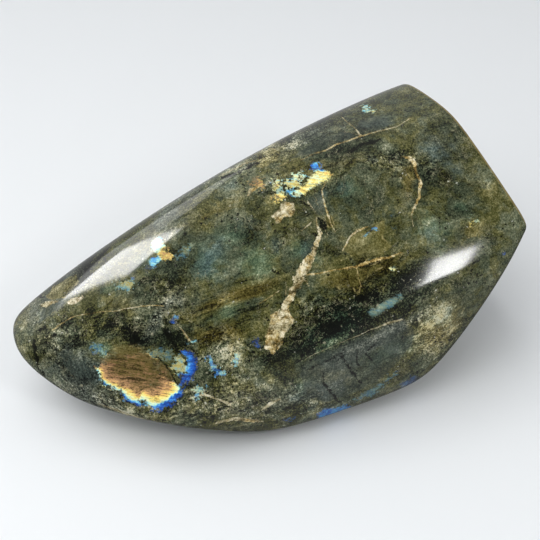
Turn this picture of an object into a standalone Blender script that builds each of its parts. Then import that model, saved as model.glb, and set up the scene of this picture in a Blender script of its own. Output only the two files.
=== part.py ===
"""Labradorite freeform: one solid polished stone with a flat sawn base, lying on its side.

The blunt tip points to -X and the sawn base faces +X, tilted a little towards +Y and up.
The stone lies on a small flat polished facet under its belly, with its tip raised.
Units are metres, +Z is up.  The origin is on the ground below the middle of the stone.
"""

import math

import bmesh
import bpy
import numpy as np
from mathutils import Vector

MM = 0.001

# ---- driving dimensions, in millimetres and degrees --------------------------------------

# Each polished face of the stone: the way it looks (azimuth, elevation), its distance from
# the core point of the stone, and the radius of its gentle dome.
POLISHED_FACES = {
    "front": (-110, 52, 27.5, 500),
    "crown": (144, 80, 46.0, 700),
    "shoulder": (175, 67, 44.0, 500),
    "belly": (-92, 10, 47.0, 700),
    "cheek": (-131, 4, 73.0, 500),
    "chin": (-146, -39, 88.5, 900),
    "keel_left": (-121, -44, 65.5, 900),
    "keel_right": (-86, -43, 63.0, 900),
    "flank": (-51, -27, 77.0, 300),
    "ridge_left": (110, 37, 43.5, 900),
    "ridge_right": (92, 43, 66.0, 1500),
    "tip": (174, -14, 106.0, 100),
    "rise": (160, -67, 60.5, 900),
    "foot": (0, -90, 44.8, 2000),
    "back": (70, -14, 64.0, 700),
    "back_left": (95, -13, 38.0, 900),
    "back_low": (70, -53, 45.0, 700),
}
EDGE_SOFTNESS = 2.5          # how far the wheel has rounded the ridges between the faces
SAW_AZIMUTH = 13.0           # the sawn base looks this way
SAW_ELEVATION = 12.0
SAW_DISTANCE = 88.3          # from the core point
CORE = (2.64, 2.37, 44.0)    # the core point, seen from the origin
STRETCH = (1.7, 1.0, 0.8)    # spreads the surface points along the long stone
FINENESS = 5                 # subdivisions of the ball that the stone is shaped from
SLIVER = 0.5                 # points this close to a saw cut are moved onto it

STONE_COLOUR = (0.055, 0.062, 0.045, 1.0)
STONE_ROUGHNESS = 0.12


def direction(azimuth, elevation):
    """Unit vector for an azimuth from +X and an elevation above the ground, in degrees."""
    around = math.radians(azimuth)
    above = math.radians(elevation)
    return np.array([math.cos(around) * math.cos(above),
                     math.sin(around) * math.cos(above),
                     math.sin(above)])


def outside_by(points):
    """How far points lie outside the polished stone, in millimetres; inside is negative.

    Every face is a plane whose height drops with the square of the distance from its middle,
    which makes it a shallow dome.  The soft maximum of all the faces rounds the ridges.
    """
    heights = []
    for azimuth, elevation, distance, dome in POLISHED_FACES.values():
        normal = direction(azimuth, elevation)
        along = points @ normal
        aside = np.sum(points ** 2, axis=1) - along ** 2
        heights.append(along - distance + aside / (2 * dome))
    heights = np.array(heights)
    top = heights.max(axis=0)
    return top + EDGE_SOFTNESS * np.log(np.exp((heights - top) / EDGE_SOFTNESS).sum(axis=0))


def surface_points(ways):
    """Where rays from the core point along the unit vectors leave the stone."""
    near = np.zeros(len(ways))
    far = np.full(len(ways), 250.0)
    for _ in range(40):
        middle = (near + far) / 2
        outside = outside_by(ways * middle[:, None]) > 0
        far = np.where(outside, middle, far)
        near = np.where(outside, near, middle)
    return ways * near[:, None]


def saw(bm, point, normal):
    """Cut the solid flat: take off what lies beyond a plane and close the cut.

    Points that are almost on the plane move onto it first, so that no sliver is left.
    """
    point = Vector(point)
    normal = Vector(normal)
    for vert in bm.verts:
        height = (vert.co - point).dot(normal)
        if abs(height) < SLIVER * MM:
            vert.co -= normal * height
    everything = bm.verts[:] + bm.edges[:] + bm.faces[:]
    bmesh.ops.bisect_plane(bm, geom=everything, dist=1e-7, plane_co=point, plane_no=normal,
                           clear_outer=True)
    rim = [edge for edge in bm.edges if edge.is_boundary]
    bmesh.ops.holes_fill(bm, edges=rim, sides=0)


def stone_mesh():
    """The polished stone as a ball pushed onto the faces, then sawn flat at base and foot."""
    bm = bmesh.new()
    bmesh.ops.create_icosphere(bm, subdivisions=FINENESS, radius=1.0)
    ways = np.array([vert.co for vert in bm.verts]) * np.array(STRETCH)
    ways /= np.linalg.norm(ways, axis=1)[:, None]
    points = np.array(CORE) + surface_points(ways)
    for vert, point in zip(bm.verts, points * MM):
        vert.co = point

    base_normal = direction(SAW_AZIMUTH, SAW_ELEVATION)
    base_point = np.array(CORE) + base_normal * SAW_DISTANCE
    saw(bm, base_point * MM, base_normal)
    saw(bm, (0.0, 0.0, 0.0), (0.0, 0.0, -1.0))
    bmesh.ops.triangulate(bm, faces=bm.faces[:])
    bmesh.ops.recalc_face_normals(bm, faces=bm.faces[:])

    mesh = bpy.data.meshes.new("stone")
    bm.to_mesh(mesh)
    bm.free()
    mesh.shade_smooth()
    mesh.set_sharp_from_angle(angle=math.radians(40))
    return mesh


def stone_material():
    """Dark olive feldspar with a wax-bright polish."""
    material = bpy.data.materials.new("labradorite")
    material.use_nodes = True
    shader = material.node_tree.nodes["Principled BSDF"]
    shader.inputs["Base Color"].default_value = STONE_COLOUR
    shader.inputs["Roughness"].default_value = STONE_ROUGHNESS
    shader.inputs["Metallic"].default_value = 0.0
    shader.inputs["IOR"].default_value = 1.56
    return material


def main():
    for item in list(bpy.data.objects):
        bpy.data.objects.remove(item)
    stone = bpy.data.objects.new("stone", stone_mesh())
    stone.data.materials.append(stone_material())
    bpy.context.scene.collection.objects.link(stone)


main()
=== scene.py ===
# %% [markdown]
# # A polished labradorite freeform
# The thing itself is one stone: a lump of feldspar rock that a cutter has sawn flat at one end
# and ground on a wheel everywhere else, until broad gently domed faces meet in soft ridges.
# All of its interest is in two things, the way the polished faces bend reflections, and what
# can be seen in the stone: fibrous olive feldspar, pale veins, and patches that flash blue and gold.
# So the lesson has four parts: the surface, the marks laid on it, the finish, and the light.

# %% Load the fixed frame
import math

import bpy
import numpy as np
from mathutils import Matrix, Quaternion, Vector


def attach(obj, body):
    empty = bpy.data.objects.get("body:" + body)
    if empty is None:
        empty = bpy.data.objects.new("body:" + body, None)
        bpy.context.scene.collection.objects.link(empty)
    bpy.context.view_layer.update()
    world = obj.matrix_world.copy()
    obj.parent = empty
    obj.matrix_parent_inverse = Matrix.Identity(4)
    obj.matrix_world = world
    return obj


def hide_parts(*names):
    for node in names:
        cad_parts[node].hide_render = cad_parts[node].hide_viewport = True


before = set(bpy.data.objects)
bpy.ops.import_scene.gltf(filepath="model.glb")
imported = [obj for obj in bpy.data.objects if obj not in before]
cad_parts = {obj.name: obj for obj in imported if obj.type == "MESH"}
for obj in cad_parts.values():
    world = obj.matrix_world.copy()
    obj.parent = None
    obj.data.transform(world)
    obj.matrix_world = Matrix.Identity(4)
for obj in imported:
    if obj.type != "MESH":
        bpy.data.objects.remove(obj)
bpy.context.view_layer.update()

MM = 0.001

# %% [markdown]
# ## The shape: domed faces under one soft maximum
# A ball squeezed by sculpting could give a pebble, but a wheel-ground stone has faces.
# A formula is closer to how it is made: each polished face is a plane that drops away with the
# square of the distance from its middle, and the stone is everything below all the faces.
# Taking a soft maximum in place of a hard one rounds the ridges as a felt wheel would.

# %% The polished faces
# Azimuth and elevation that the face looks to, distance from the core point, radius of its dome.
POLISHED_FACES = {
    "front": (-110, 52, 27.5, 500),
    "crown": (144, 80, 46.0, 700),
    "shoulder": (175, 67, 44.0, 500),
    "belly": (-92, 10, 47.0, 700),
    "cheek": (-131, 4, 73.0, 500),
    "chin": (-146, -39, 88.5, 900),
    "keel_left": (-121, -44, 65.5, 900),
    "keel_right": (-86, -43, 63.0, 900),
    "flank": (-51, -27, 77.0, 300),
    "ridge_left": (110, 37, 43.5, 900),
    "ridge_right": (92, 43, 66.0, 1500),
    "tip": (174, -14, 106.0, 100),
    "rise": (160, -67, 60.5, 900),
    "foot": (0, -90, 44.8, 2000),
    "back": (70, -14, 64.0, 700),
    "back_left": (95, -13, 38.0, 900),
    "back_low": (70, -53, 45.0, 700),
}
EDGE_SOFTNESS = 2.5
CORE = np.array([2.64, 2.37, 44.0])


def direction(azimuth, elevation):
    """Unit vector from an azimuth about +Z, counted from +X, and an elevation above the ground."""
    around, above = math.radians(azimuth), math.radians(elevation)
    return np.array([math.cos(around) * math.cos(above),
                     math.sin(around) * math.cos(above),
                     math.sin(above)])


FACE_NORMALS = np.array([direction(a, e) for a, e, _, _ in POLISHED_FACES.values()])
FACE_DISTANCES = np.array([d for _, _, d, _ in POLISHED_FACES.values()])
FACE_DOMES = np.array([r for _, _, _, r in POLISHED_FACES.values()], dtype=float)


def outside_by(points):
    """Soft maximum over the faces of (height along the normal - distance + aside^2 / 2 dome).

    Points are measured from the core, in millimetres; the result is below zero inside.
    """
    along = points @ FACE_NORMALS.T
    aside = np.sum(points ** 2, axis=-1, keepdims=True) - along ** 2
    heights = along - FACE_DISTANCES + aside / (2 * FACE_DOMES)
    top = heights.max(axis=-1, keepdims=True)
    spread = np.exp((heights - top) / EDGE_SOFTNESS).sum(axis=-1)
    return top[..., 0] + EDGE_SOFTNESS * np.log(spread)


print(len(POLISHED_FACES), "polished faces; the core lies", round(-outside_by(np.zeros(3)), 1), "mm deep")

# %% [markdown]
# ### Waves left by the wheel
# No hand-held stone comes off the wheel as a perfect dome. Waves of about a tenth of a millimetre
# over a few centimetres are too shallow to see as shape, but they bend every reflection a little.
# A bump in the material could fake them, but the reflections bend better over a true surface.
# The polish after them takes the same thin skin off everywhere, so the stone stays inside its frame.

# %% Wheel waves
WAVE_DEPTH = 0.10
# Length in millimetres, the way the wave runs, its phase in radians, its share of the depth.
WHEEL_WAVES = [
    (58.0, (1.0, 0.0, 0.4), 0.6, 0.2),
    (41.0, (0.0, 0.7, -0.7), 2.1, 0.2),
    (27.0, (0.6, -0.5, 0.6), 4.0, 0.1),
]


def wheel_waves(points):
    """Depth ground away: WAVE_DEPTH * (0.5 + sum of part * sin(2 pi (point . way) / length + phase))."""
    swell = np.full(points.shape[:-1], 0.5)
    for length, way, phase, part in WHEEL_WAVES:
        swell += part * np.sin(2 * math.pi * (points @ np.array(way)) / length + phase)
    return WAVE_DEPTH * swell


print("deepest wave possible:", WAVE_DEPTH * (0.5 + sum(wave[-1] for wave in WHEEL_WAVES)), "mm")

# %% Where a ray from the core leaves the stone
POLISH_SKIN = 0.17
BEYOND = 250.0
HALVINGS = 36


def on_surface(ways):
    """Points where rays from the core leave the stone, less the skin and the waves.

    The distance is found by halving an interval HALVINGS times.
    """
    near = np.zeros(ways.shape[:-1])
    far = np.full(ways.shape[:-1], BEYOND)
    for _ in range(HALVINGS):
        middle = (near + far) / 2
        outside = outside_by(ways * middle[..., None]) > 0
        far = np.where(outside, middle, far)
        near = np.where(outside, near, middle)
    points = ways * near[..., None]
    return points * (1 - (POLISH_SKIN + wheel_waves(points)) / near)[..., None]


print("straight up the stone ends at", on_surface(direction(0, 90)[None])[0].round(2), "mm from the core")

# %% [markdown]
# ### A grid wrapped round the stone
# A ball of triangles would do for the pebble, but not for the sharp rim of the saw cut.
# So the surface is a grid of two angles: one goes round the long axis, the other runs from the
# tip to the base. The last row is put exactly where the saw cut the stone, so the rim is a clean
# line of points. A row just before it and one just inside it make the fine arris that a cutter
# leaves, and rings shrinking to the middle close the sawn base. Columns stand closer together
# on the side that carries the finest marks.

# %% Find the rim of the saw cut
COLUMNS = 312
STRETCH = np.array([1.7, 1.0, 0.8])
FRONT_AROUND = math.radians(135)
CROWDING = 0.32
NEARLY_PI = math.pi * 0.999
SAW_AZIMUTH, SAW_ELEVATION, SAW_DISTANCE = 13.0, 12.0, 88.3
SAW_NORMAL = direction(SAW_AZIMUTH, SAW_ELEVATION)


def unit(vectors):
    """Each vector divided by its length."""
    return vectors / np.linalg.norm(vectors, axis=-1, keepdims=True)


def ways_at(along, around):
    """Unit vectors on a ball stretched along X: `along` is 0 at the tip, pi at the base end.

    Each is (-cos along, sin along * cos around, sin along * sin around) * STRETCH, made unit.
    """
    return unit(np.stack([-np.cos(along), np.sin(along) * np.cos(around),
                          np.sin(along) * np.sin(around)], axis=-1) * STRETCH)


def beyond_saw(points):
    """Distance past the saw cut, in millimetres."""
    return points @ SAW_NORMAL - SAW_DISTANCE


turns = 2 * math.pi * np.arange(COLUMNS) / COLUMNS
around = FRONT_AROUND + turns - CROWDING * np.sin(turns)
low, high = np.full(COLUMNS, math.pi / 2), np.full(COLUMNS, NEARLY_PI)
for _ in range(HALVINGS):
    middle = (low + high) / 2
    past = beyond_saw(on_surface(ways_at(middle, around))) > 0
    high = np.where(past, middle, high)
    low = np.where(past, low, middle)
rim_along = low
print("the saw cut lies at", np.degrees([rim_along.min(), rim_along.max()]).round(1), "degrees along")

# %% Rows from the tip to the rim, and rings across the base
ROWS = 280
BASE_RINGS = 22
ARRIS = 0.45

share = np.arange(1, ROWS + 1)[:, None] / ROWS
body = on_surface(ways_at(rim_along * share, around[None, :]))
rim = body[-1].copy()
body[-1] = rim + ARRIS * unit(body[-2] - rim)
tip = on_surface(ways_at(np.zeros(1), np.zeros(1)))

base_middle = rim.mean(axis=0)
base_middle -= beyond_saw(base_middle) * SAW_NORMAL
inner = rim + ARRIS * unit(base_middle - rim)
arris = (body[-1] + inner + 2 * rim) / 4
shrink = (np.arange(BASE_RINGS) / BASE_RINGS)[:, None, None]
base = inner + (base_middle - inner) * shrink
rings = np.concatenate([body, arris[None], base])
print("rings and columns:", rings.shape[:2])

# %% [markdown]
# ### The facet it rests on
# Under the belly the cutter flattened a small facet. Cutting it with a boolean would break the
# neat grid, so points that would be below the ground are drawn back along their ray from the
# core until they are on it, which leaves a true flat.

# %% Flatten the foot
LEAST_DROP = -1e-6


def flatten_foot(points):
    """Moves points under the ground up along their ray from the core, to height zero.

    Such a point is multiplied by the core's height over its own depth below the core.
    """
    drop = np.minimum(points[..., 2], LEAST_DROP)
    keep = np.minimum(1.0, -CORE[2] / drop)
    return points * keep[..., None]


ends = np.concatenate([tip, base_middle[None]])
spots = np.concatenate([flatten_foot(rings).reshape(-1, 3), flatten_foot(ends)])
print("points of the resting facet:", int((spots[:, 2] + CORE[2] < -LEAST_DROP).sum()))

# %% [markdown]
# ### From arrays to a mesh
# Blender could be handed one Python list of corners per face, but for this many faces it is far
# quicker to number the corners of the whole grid with numpy and hand over flat arrays.

# %% Make the mesh


def grid_faces(rows, columns):
    """Quads between neighbouring rings, and a fan of triangles at each end of the grid.

    Corner number = ring * columns + column; the two end points come after all the rings.
    """
    row, column = np.meshgrid(np.arange(rows - 1), np.arange(columns), indexing="ij")
    after = (column + 1) % columns
    quads = np.stack([row * columns + column, row * columns + after,
                      (row + 1) * columns + after, (row + 1) * columns + column], axis=-1)
    here = np.arange(columns)
    there = (here + 1) % columns
    first, last = rows * columns, rows * columns + 1
    start_fan = np.stack([there, here, np.full(columns, first)], axis=-1)
    end = (rows - 1) * columns
    end_fan = np.stack([end + here, end + there, np.full(columns, last)], axis=-1)
    return quads.reshape(-1, 4), np.concatenate([start_fan, end_fan])


def new_mesh(name, points, quads, triangles):
    """A smooth mesh from arrays: points in millimetres, then its quads and triangles.

    All faces share one flat list of corners, and each starts where the one before it ends.
    """
    mesh = bpy.data.meshes.new(name)
    mesh.vertices.add(len(points))
    mesh.vertices.foreach_set("co", (points * MM).ravel())
    corners = np.concatenate([quads.ravel(), triangles.ravel()])
    sizes = np.concatenate([np.full(len(quads), 4), np.full(len(triangles), 3)])
    mesh.loops.add(len(corners))
    mesh.loops.foreach_set("vertex_index", corners)
    mesh.polygons.add(len(sizes))
    mesh.polygons.foreach_set("loop_start", np.concatenate([[0], np.cumsum(sizes)[:-1]]))
    mesh.polygons.foreach_set("use_smooth", np.ones(len(sizes), dtype=bool))
    mesh.update(calc_edges=True)
    mesh.validate()
    return mesh


def new_object(name, data):
    """Makes an object that shows the data, and links it to the scene."""
    made = bpy.data.objects.new(name, data)
    bpy.context.scene.collection.objects.link(made)
    return made


quads, triangles = grid_faces(len(rings), COLUMNS)
stone_mesh = new_mesh("polished_stone", spots + CORE, quads, triangles)
stone = new_object("polished_stone", stone_mesh)
normals = np.empty(len(spots) * 3)
stone_mesh.vertices.foreach_get("normal", normals)
normals = normals.reshape(-1, 3)
print("stone:", len(spots), "points,", 2 * len(quads) + len(triangles), "triangles")

# %% [markdown]
# ## The marks: a tracing sheet held in front of the stone
# Veins, crystals and flashes run through the whole lump and end where the wheel cut them, so on
# the polished skin each is just a patch or a line. They could be painted on an image, but an
# image is tied to one unwrapping. Here each mark is a few points on a tracing sheet, ruled in
# squares of 0.4 mm, that stands in front of the stone. Every point of the surface is carried to
# the sheet along its line to the eye, and its distance to each mark is worked out there.
# The finish later turns a distance into a crisp or ragged edge, finer than the mesh itself.

# %% Two tracing sheets, in front and behind
SHEET_SQUARE = 0.4
SHEET_MIDDLE = 270.0
SHEET_EYE = 510.0
FRONT_SHEET = (-110.0, 45.0)
BACK_SHEET = (75.0, 12.0)


def on_sheet(points, sheet):
    """Sheet position (squares from the left, squares from the top) of points round the core.

    Central projection: sideways or upward distance, times eye distance over depth from the eye.
    """
    to_eye = direction(*sheet)
    sideways = unit(np.array([-to_eye[1], to_eye[0], 0.0]))
    upward = np.cross(to_eye, sideways)
    nearer = SHEET_EYE / (SHEET_EYE - points @ to_eye) / SHEET_SQUARE
    across = SHEET_MIDDLE + (points @ sideways) * nearer
    down = SHEET_MIDDLE - (points @ upward) * nearer
    return np.stack([across, down], axis=-1)


def facing(sheet):
    """Cosine between the surface normal and the way to the sheet's eye, for every point."""
    return normals @ direction(*sheet)


front_places, front_seen = on_sheet(spots, FRONT_SHEET), facing(FRONT_SHEET)
back_places, back_seen = on_sheet(spots, BACK_SHEET), facing(BACK_SHEET)
print("front sheet spans", front_places.min(axis=0).round(), front_places.max(axis=0).round())

# %% [markdown]
# ### Distance to a patch, to a line, and a soft smudge
# Three kinds of mark are enough. A patch, for a crystal or a flash, is a closed outline with a
# distance that is negative inside. A line, for a vein or a crack, is a path with a width at each
# point. A smudge, for a change of tone, is a soft turned ellipse. All are worked out for every
# point of the mesh at once, so a loop runs only over the few sides of an outline.

# %% Distance to a path
BEYOND_ALL = 1e9


def path_distance(places, path, closed=False):
    """Distance in squares to the nearest side of a path: |place - start - along * side|.

    `along` is the place's share of the way along the side, held between 0 and 1.
    """
    corners = np.array(path, dtype=float)
    starts, ends = (corners, np.roll(corners, -1, axis=0)) if closed else (corners[:-1], corners[1:])
    least = np.full(len(places), BEYOND_ALL)
    for start, end in zip(starts, ends):
        side = end - start
        along = np.clip(((places - start) @ side) / (side @ side), 0, 1)
        gap = places - start - along[:, None] * side
        least = np.minimum(least, np.hypot(gap[:, 0], gap[:, 1]))
    return least


print("from (3, 4) to a path along X:", path_distance(np.array([[3, 4]]), [(0, 0), (9, 0)]), "squares")

# %% Distance to a patch
# Distances are kept up to FAR millimetres. A surface faces its sheet while the cosine of its
# turn is above TURNED_AWAY, and past that a mark's distance grows by WRAP times the rest.
FAR = 14.0
TURNED_AWAY = -0.12
WRAP = 30.0
NOT_LEVEL = 1e-9


def patch_distance(places, outline, seen):
    """Signed distance to a closed outline, in millimetres: negative inside.

    Inside is where a level ray crosses an odd number of sides. A mark also ends where the
    surface turns away from its sheet.
    """
    corners = np.array(outline, dtype=float)
    inside = np.zeros(len(places), dtype=bool)
    for start, end in zip(corners, np.roll(corners, -1, axis=0)):
        spans = (start[1] > places[:, 1]) != (end[1] > places[:, 1])
        rise = end[1] - start[1] or NOT_LEVEL
        crossing = start[0] + (places[:, 1] - start[1]) / rise * (end[0] - start[0])
        inside ^= spans & (places[:, 0] < crossing)
    least = path_distance(places, outline, closed=True)
    signed = np.where(inside, -least, least) * SHEET_SQUARE
    return np.maximum(signed, (TURNED_AWAY - seen) * WRAP)


def patches(places, outlines, seen):
    """Least signed distance to several outlines, held within FAR."""
    nearest = np.full(len(places), FAR)
    for outline in outlines:
        nearest = np.minimum(nearest, patch_distance(places, outline, seen))
    return np.maximum(nearest, -FAR)


test_patch = [(0, 0), (20, 0), (20, 20), (0, 20)]
print("the middle of a patch 20 squares wide:", patch_distance(np.array([[10, 10]]), test_patch, 1.0), "mm")

# %% Distance to a line
# All in squares but the last, which is in millimetres: the sampling, how far round a path is
# searched, where its width has faded out and over how much, its rounded ends, and the sideways
# distance that is stored where no line is near.
LINE_STEP = 0.5
LINE_SEARCH = 20
LINE_REACH, LINE_FADE = 12.0, 4.0
LINE_END = 2.0
NO_LINE = 5.0


def samples(path):
    """Points along a path, one every LINE_STEP squares, with their widths and unit directions."""
    path = np.array(path, dtype=float)
    steps = np.hypot(*np.diff(path[:, :2], axis=0).T)
    length = np.concatenate([[0], np.cumsum(steps)])
    at = np.arange(0, length[-1], LINE_STEP)
    x, y, width = (np.interp(at, length, path[:, k]) for k in range(3))
    middle_line = np.stack([x, y], axis=-1)
    return middle_line, width, unit(np.gradient(middle_line, axis=0))


def lines(places, paths, seen):
    """Nearest path: signed sideways distance and half width in millimetres, and the path's tint.

    The sideways distance is measured along the normal of the nearest sample, as
    gap_x * ahead_y - gap_y * ahead_x. The half width fades to nothing away from the path, so
    that the change of sign between two paths never shows as a line.
    """
    reach = np.full(len(places), BEYOND_ALL)
    found = np.zeros((len(places), 3))
    for tint, path in paths:
        middle_line, width, ahead = samples(path)
        close = np.all((places > middle_line.min(axis=0) - LINE_SEARCH)
                       & (places < middle_line.max(axis=0) + LINE_SEARCH), axis=1)
        near = np.nonzero(close & (seen > TURNED_AWAY))[0]
        gap = places[near, None] - middle_line[None]
        apart = np.hypot(gap[..., 0], gap[..., 1])
        pick = apart.argmin(axis=1)
        row = np.arange(len(near))
        gap, apart = gap[row, pick], apart[row, pick]
        sideways = gap[:, 0] * ahead[pick, 1] - gap[:, 1] * ahead[pick, 0]
        here = apart < reach[near]
        near, sideways, apart, pick = near[here], sideways[here], apart[here], pick[here]
        reach[near] = apart
        past_end = np.sqrt(np.maximum(apart ** 2 - sideways ** 2, 0))
        present = np.clip((LINE_REACH - apart) / LINE_FADE, 0, 1) * np.clip(LINE_END - past_end, 0, 1)
        found[near, 0] = sideways * SHEET_SQUARE
        found[near, 1] = 0.5 * width[pick] * SHEET_SQUARE * present
        found[near, 2] = tint
    found[:, 0] = np.where(found[:, 1] > 0, found[:, 0], NO_LINE)
    return found


test_line = [(0.5, [(0, 0, 2), (40, 0, 2)])]
print("5 squares beside a line 2 wide:", lines(np.array([[20, 5]]), test_line, np.ones(1))[0])

# %% Soft smudges, and flashes with their order
SMUDGE_FADE = 0.25


def smudges(places, ellipses, seen):
    """Sum of soft ellipses: strength * exp(-(across/long)^2 - (down/short)^2), each one turned."""
    total = np.zeros(len(places))
    for x, y, long_way, short_way, turn, strength in ellipses:
        a = math.radians(turn)
        dx, dy = places[:, 0] - x, y - places[:, 1]
        across = dx * math.cos(a) + dy * math.sin(a)
        down = -dx * math.sin(a) + dy * math.cos(a)
        total += strength * np.exp(-(across / long_way) ** 2 - (down / short_way) ** 2)
    return total * np.clip((seen - TURNED_AWAY) / SMUDGE_FADE, 0, 1)


def flashes(places, flashing, seen):
    """Nearest flash: its distance in millimetres, colour order, strength and brokenness.

    Where a flash has a cool edge, its order nears 1 with the depth behind that edge:
    order = start + (1 - start) * (1 - exp(-depth / thickness)).
    """
    found = np.zeros((len(places), 4))
    found[:, 0] = FAR
    for order, strength, broken, outline, *hem in flashing:
        distance = patch_distance(places, outline, seen)
        here = distance < found[:, 0]
        found[here, 0] = distance[here]
        found[here, 1] = order
        found[here, 2:] = (strength, broken)
        if hem:
            thickness, cool_edge = hem
            depth = path_distance(places[here], cool_edge)
            found[here, 1] += (1 - order) * (1 - np.exp(-depth / thickness))
    return found


print("a smudge at its own middle:", smudges(np.zeros((1, 2)), [(0, 0, 9, 3, 0, 0.8)], np.ones(1)))

# %% [markdown]
# ### Pale veins and dark cracks on the front
# The strongest line on the stone is a cream vein that swells downwards into an angular lump.
# Around it run finer ones: the golden thread near the tip, the ridge vein along the top, and
# the crooked edges of a large crystal on the right. A noise could scatter veins anywhere, but
# these make the stone this stone, so each is a path of a few points with its own widths.

# %% Veins on the front sheet
# Tint (0 for cream, 1 for rusty gold, below 0 for the palest), then x, y and width in squares.
FRONT_VEINS = [
    # the main vein, from a hair line to the lump that it ends in
    (0.25, [(316, 216, 1.0), (317, 225, 2.0), (320, 234, 4.2), (317, 243, 4.4), (314, 252, 5.4),
            (309, 261, 8.0), (305, 269, 11.0), (301, 277, 13.0), (297, 285, 9.0), (291, 295, 7.0),
            (287, 304, 7.5), (283, 313, 9.0)]),
    # rusty branch to the right
    (0.95, [(308, 275, 1.8), (320, 273, 1.4), (330, 271, 1.5), (341, 269, 1.8), (355, 267, 2.2),
            (366, 263, 2.6), (378, 259, 2.8), (390, 257, 2.0), (402, 252, 1.2)]),
    # the golden thread near the tip
    (0.7, [(53, 330, 1.4), (62, 323, 1.0), (72, 317, 0.9), (81, 315, 0.8), (98, 312, 0.8),
           (112, 311, 0.7), (119, 311, 0.8), (124, 309, 0.8), (133, 308, 0.9), (142, 306, 0.9),
           (152, 305, 0.8), (163, 306, 0.8)]),
    # right edge of the large crystal
    (0.45, [(402, 156, 1.2), (410, 158, 3.4), (415, 164, 3.0), (416, 172, 1.8), (419, 178, 2.6),
            (421, 185, 3.4), (419, 191, 2.2), (420, 197, 2.6), (417, 202, 2.4), (414, 208, 1.8),
            (411, 215, 1.2), (413, 226, 0.7)]),
    # its left edge
    (0.8, [(326, 182, 0.6), (322, 190, 0.9), (323, 199, 1.2), (326, 208, 1.4), (328, 214, 1.4),
           (330, 223, 1.2), (335, 232, 0.8)]),
    (0.2, [(308, 202, 1.4), (311, 207, 1.6), (316, 213, 0.9)]),
    # ridge vein along the top, thickest in its middle
    (0.4, [(276, 167, 0.6), (286, 163, 0.8), (303, 159, 0.7), (315, 153, 1.4), (327, 150, 1.1),
           (336, 144, 1.8), (347, 141, 1.5), (358, 137, 1.6), (371, 133, 0.9), (384, 130, 1.0),
           (397, 127, 0.5), (406, 121, 0.8), (412, 116, 0.5)]),
    (0.25, [(342, 117, 0.8), (348, 123, 1.2), (354, 127, 1.4), (359, 134, 1.4)]),
    (0.3, [(220, 176, 0.8), (235, 169, 1.0), (246, 163, 1.4), (256, 160, 1.2)]),
    (0.15, [(178, 325, 0.6), (183, 331, 1.4), (188, 338, 1.8), (193, 343, 1.6)]),
    (0.6, [(260, 303, 0.5), (270, 297, 0.9), (279, 291, 0.7)]),
    (0.2, [(302, 230, 0.8), (309, 225, 1.4), (311, 223, 1.4)]),
    # the upper hem of the ochre crystal, and a crack below it
    (0.5, [(343, 250, 1.0), (350, 237, 1.4), (357, 231, 3.0), (364, 228, 1.8), (368, 226, 0.8)]),
    (0.6, [(357, 268, 0.7), (358, 276, 0.9), (361, 286, 0.7)]),
    # cream bands that swirl along the bottom
    (0.15, [(188, 399, 1.4), (204, 394, 2.2), (216, 399, 1.6), (230, 404, 2.4)]),
    (0.15, [(216, 423, 1.6), (232, 419, 3.0), (246, 420, 3.4), (262, 421, 1.8)]),
    (0.2, [(262, 410, 1.4), (270, 404, 2.8), (280, 399, 1.8)]),
    # a painted highlight along the crest of the lower ridge, drawn as the palest vein
    (-0.6, [(306, 358, 0.3), (322, 351, 0.6), (338, 344, 0.3), (352, 338, 0.7), (368, 331, 0.4),
            (380, 326, 1.2), (392, 322, 2.0), (403, 319, 1.4)]),
    (0.1, [(100, 404, 1.0), (118, 411, 1.8), (138, 418, 2.2), (160, 423, 1.6)]),
]
print(len(FRONT_VEINS), "veins on the front")

# %% Cracks on the front sheet
# Just x, y and width in squares: a crack is always dark.
FRONT_CRACKS = [
    [(33, 340, 2.2), (34, 347, 3.6), (36, 356, 3.8), (37, 361, 2.2), (39, 369, 1.6), (45, 375, 1.2)],
    [(40, 331, 1.8), (44, 327, 2.6)],
    [(45, 339, 3.0), (49, 337, 4.0), (55, 334, 2.6)],
    [(164, 329, 1.0), (168, 336, 1.6), (173, 343, 1.4), (178, 352, 1.0)],
    [(157, 357, 1.0), (162, 361, 1.2), (168, 368, 1.8), (171, 374, 1.2), (177, 386, 1.0)],
    [(188, 346, 1.0), (196, 352, 1.4), (201, 360, 1.0)],
    [(341, 352, 1.0), (344, 361, 1.6), (351, 371, 2.2), (362, 383, 1.6)],
    [(322, 372, 0.9), (324, 384, 1.6), (331, 393, 2.6), (337, 400, 2.4), (342, 404, 1.4)],
    [(357, 351, 0.8), (357, 362, 1.0), (360, 370, 0.7)],
    [(366, 353, 0.7), (373, 362, 1.0), (380, 368, 0.7)],
    [(345, 351, 0.8), (334, 357, 1.0), (322, 363, 1.0), (308, 371, 0.8)],
    [(375, 345, 0.7), (366, 354, 1.0), (372, 362, 0.8)],
    [(350, 151, 2.0), (356, 148, 3.4), (363, 144, 3.0), (371, 141, 2.4), (382, 139, 1.2)],
    [(222, 178, 1.4), (238, 171, 2.0), (248, 167, 1.8), (262, 161, 1.4)],
    [(318, 217, 2.0), (322, 224, 4.0), (325, 229, 2.0)],
    [(300, 200, 0.8), (309, 205, 1.4), (314, 212, 1.0)],
    [(313, 234, 3.2), (316, 236, 3.0)],
    [(84, 272, 2.0), (93, 265, 2.4), (101, 256, 3.0), (109, 247, 1.4)],
    [(38, 295, 3.2), (43, 297, 2.6)],
    [(272, 269, 1.0), (276, 272, 1.8), (280, 274, 1.0)],
    [(398, 243, 1.0), (404, 248, 1.4), (409, 253, 1.0)],
    [(300, 352, 2.0), (304, 359, 2.6), (296, 362, 1.6)],
    [(417, 372, 0.8), (420, 385, 1.0)],
]
print(len(FRONT_CRACKS), "cracks on the front")

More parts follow.
